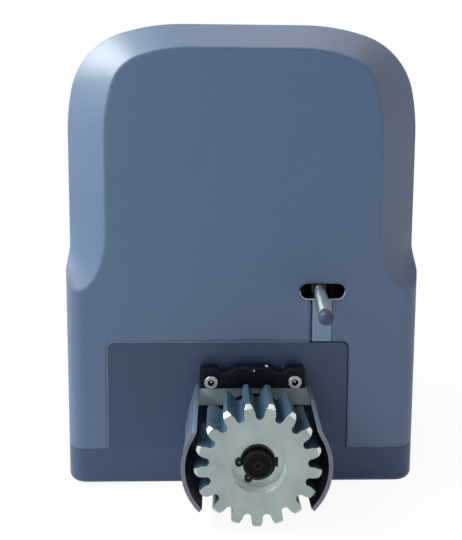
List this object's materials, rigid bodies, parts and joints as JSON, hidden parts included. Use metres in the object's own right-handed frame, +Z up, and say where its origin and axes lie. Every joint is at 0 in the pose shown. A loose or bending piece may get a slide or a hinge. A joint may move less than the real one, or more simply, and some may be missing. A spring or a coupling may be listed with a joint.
{
  "type": "sliding gate gearmotor",
  "caption": "Gearmotor for a sliding gate: moulded hood on a base, toothed output pinion with a guard, sprung limit lever, motor, worm gearbox and control board inside.",
  "frame": {"origin": "centre of the base's underside, on the surface it is bolted to", "axes": "+Z up from the base, -Y out of the gate side along the output shaft, +X to the right seen from the gate side"},
  "size_m": [0.242, 0.2519, 0.308],
  "materials": {
    "hood_plastic": "moulded, fine grain",
    "base_plastic": "moulded, fine grain",
    "black_plastic": "moulded",
    "white_plastic": "moulded",
    "board_green": "solder mask",
    "terminal_green": "moulded",
    "relay_blue": "moulded",
    "rubber": "matt",
    "zinc_plate": "zinc plated",
    "bright_steel": "ground",
    "black_steel": "black oxide",
    "guard_steel": "powder coated",
    "black_casting": "painted casting",
    "aluminium": "cast",
    "laminations": "stacked sheet",
    "copper": "enamelled copper wire",
    "bronze": "machined bronze"
  },
  "bodies": {
    "housing": {"base_housing": "base_plastic", "cable_grommet": "rubber", "pinion_guard": "guard_steel", "guard_clamp": "black_casting", "guard_screws": "bright_steel", "gearbox_housing": "black_casting", "gearbox_cover": "aluminium", "cover_screws": "bright_steel", "gearbox_bolts": "bright_steel", "front_bearing": "bright_steel", "rear_bearing": "bright_steel", "oil_seal": "rubber", "worm_bearing_lower": "bright_steel", "worm_bearing_upper": "bright_steel", "motor_stator": "laminations", "motor_windings": "copper", "motor_cap": "aluminium", "motor_bolts": "bright_steel", "capacitor": "white_plastic", "capacitor_clip": "black_plastic", "transformer": "laminations", "board_tray": "black_plastic", "circuit_board": "board_green", "board_screws": "bright_steel", "terminal_blocks": "terminal_green", "relays": "relay_blue", "board_components": "black_plastic", "fuse_holder": "black_plastic", "limit_housing": "hood_plastic", "pivot_pin": "bright_steel", "microswitches": "black_plastic", "release_housing": "base_plastic", "release_pin": "bright_steel"},
    "output": {"output_shaft": "black_steel", "pinion": "zinc_plate", "pinion_key": "black_steel", "wheel_key": "bright_steel", "pinion_spacer": "bright_steel", "wheel_spacer": "bright_steel", "circlip": "black_steel", "worm_wheel": "bronze"},
    "rotor": {"worm_shaft": "bright_steel", "rotor_core": "laminations"},
    "limit_lever": {"lever_cam": "black_plastic", "lever_spring": "bright_steel", "lever_tip": "rubber"},
    "cover": {"hood": "hood_plastic", "hood_screws": "black_steel"},
    "release": {"release_lever": "black_plastic"},
    "lock": {"lock_barrel": "bright_steel"}
  },
  "joints": [
    {"name": "pinion_spin", "type": "hinge", "parent": "housing", "child": "output", "pos_m": [0.0076, 0, 0.0382], "axis": [0, 1, 0], "continuous": true},
    {"name": "rotor_spin", "type": "hinge", "parent": "housing", "child": "rotor", "pos_m": [-0.0304, 0, 0], "axis": [0, 0, 1], "continuous": true},
    {"name": "lever_swing", "type": "hinge", "parent": "housing", "child": "limit_lever", "pos_m": [0.0522, -0.077, 0.133], "axis": [0, 0, 1], "range_deg": [-23, 36], "stiffness_Nm_per_rad": 0.4},
    {"name": "cover_lift", "type": "slide", "parent": "housing", "child": "cover", "axis": [0, 0, 1], "range_m": [0, 0.33]},
    {"name": "release_swing", "type": "hinge", "parent": "housing", "child": "release", "pos_m": [-0.03, 0.089, 0.043], "axis": [0, 0, 1], "range_deg": [0, 90]},
    {"name": "lock_turn", "type": "hinge", "parent": "release", "child": "lock", "pos_m": [-0.008, 0.089, 0.043], "axis": [0, 1, 0], "range_deg": [0, 90]}
  ],
  "couplings": [
    {"joint": "rotor_spin", "follows": "pinion_spin", "ratio": -28}
  ]
}
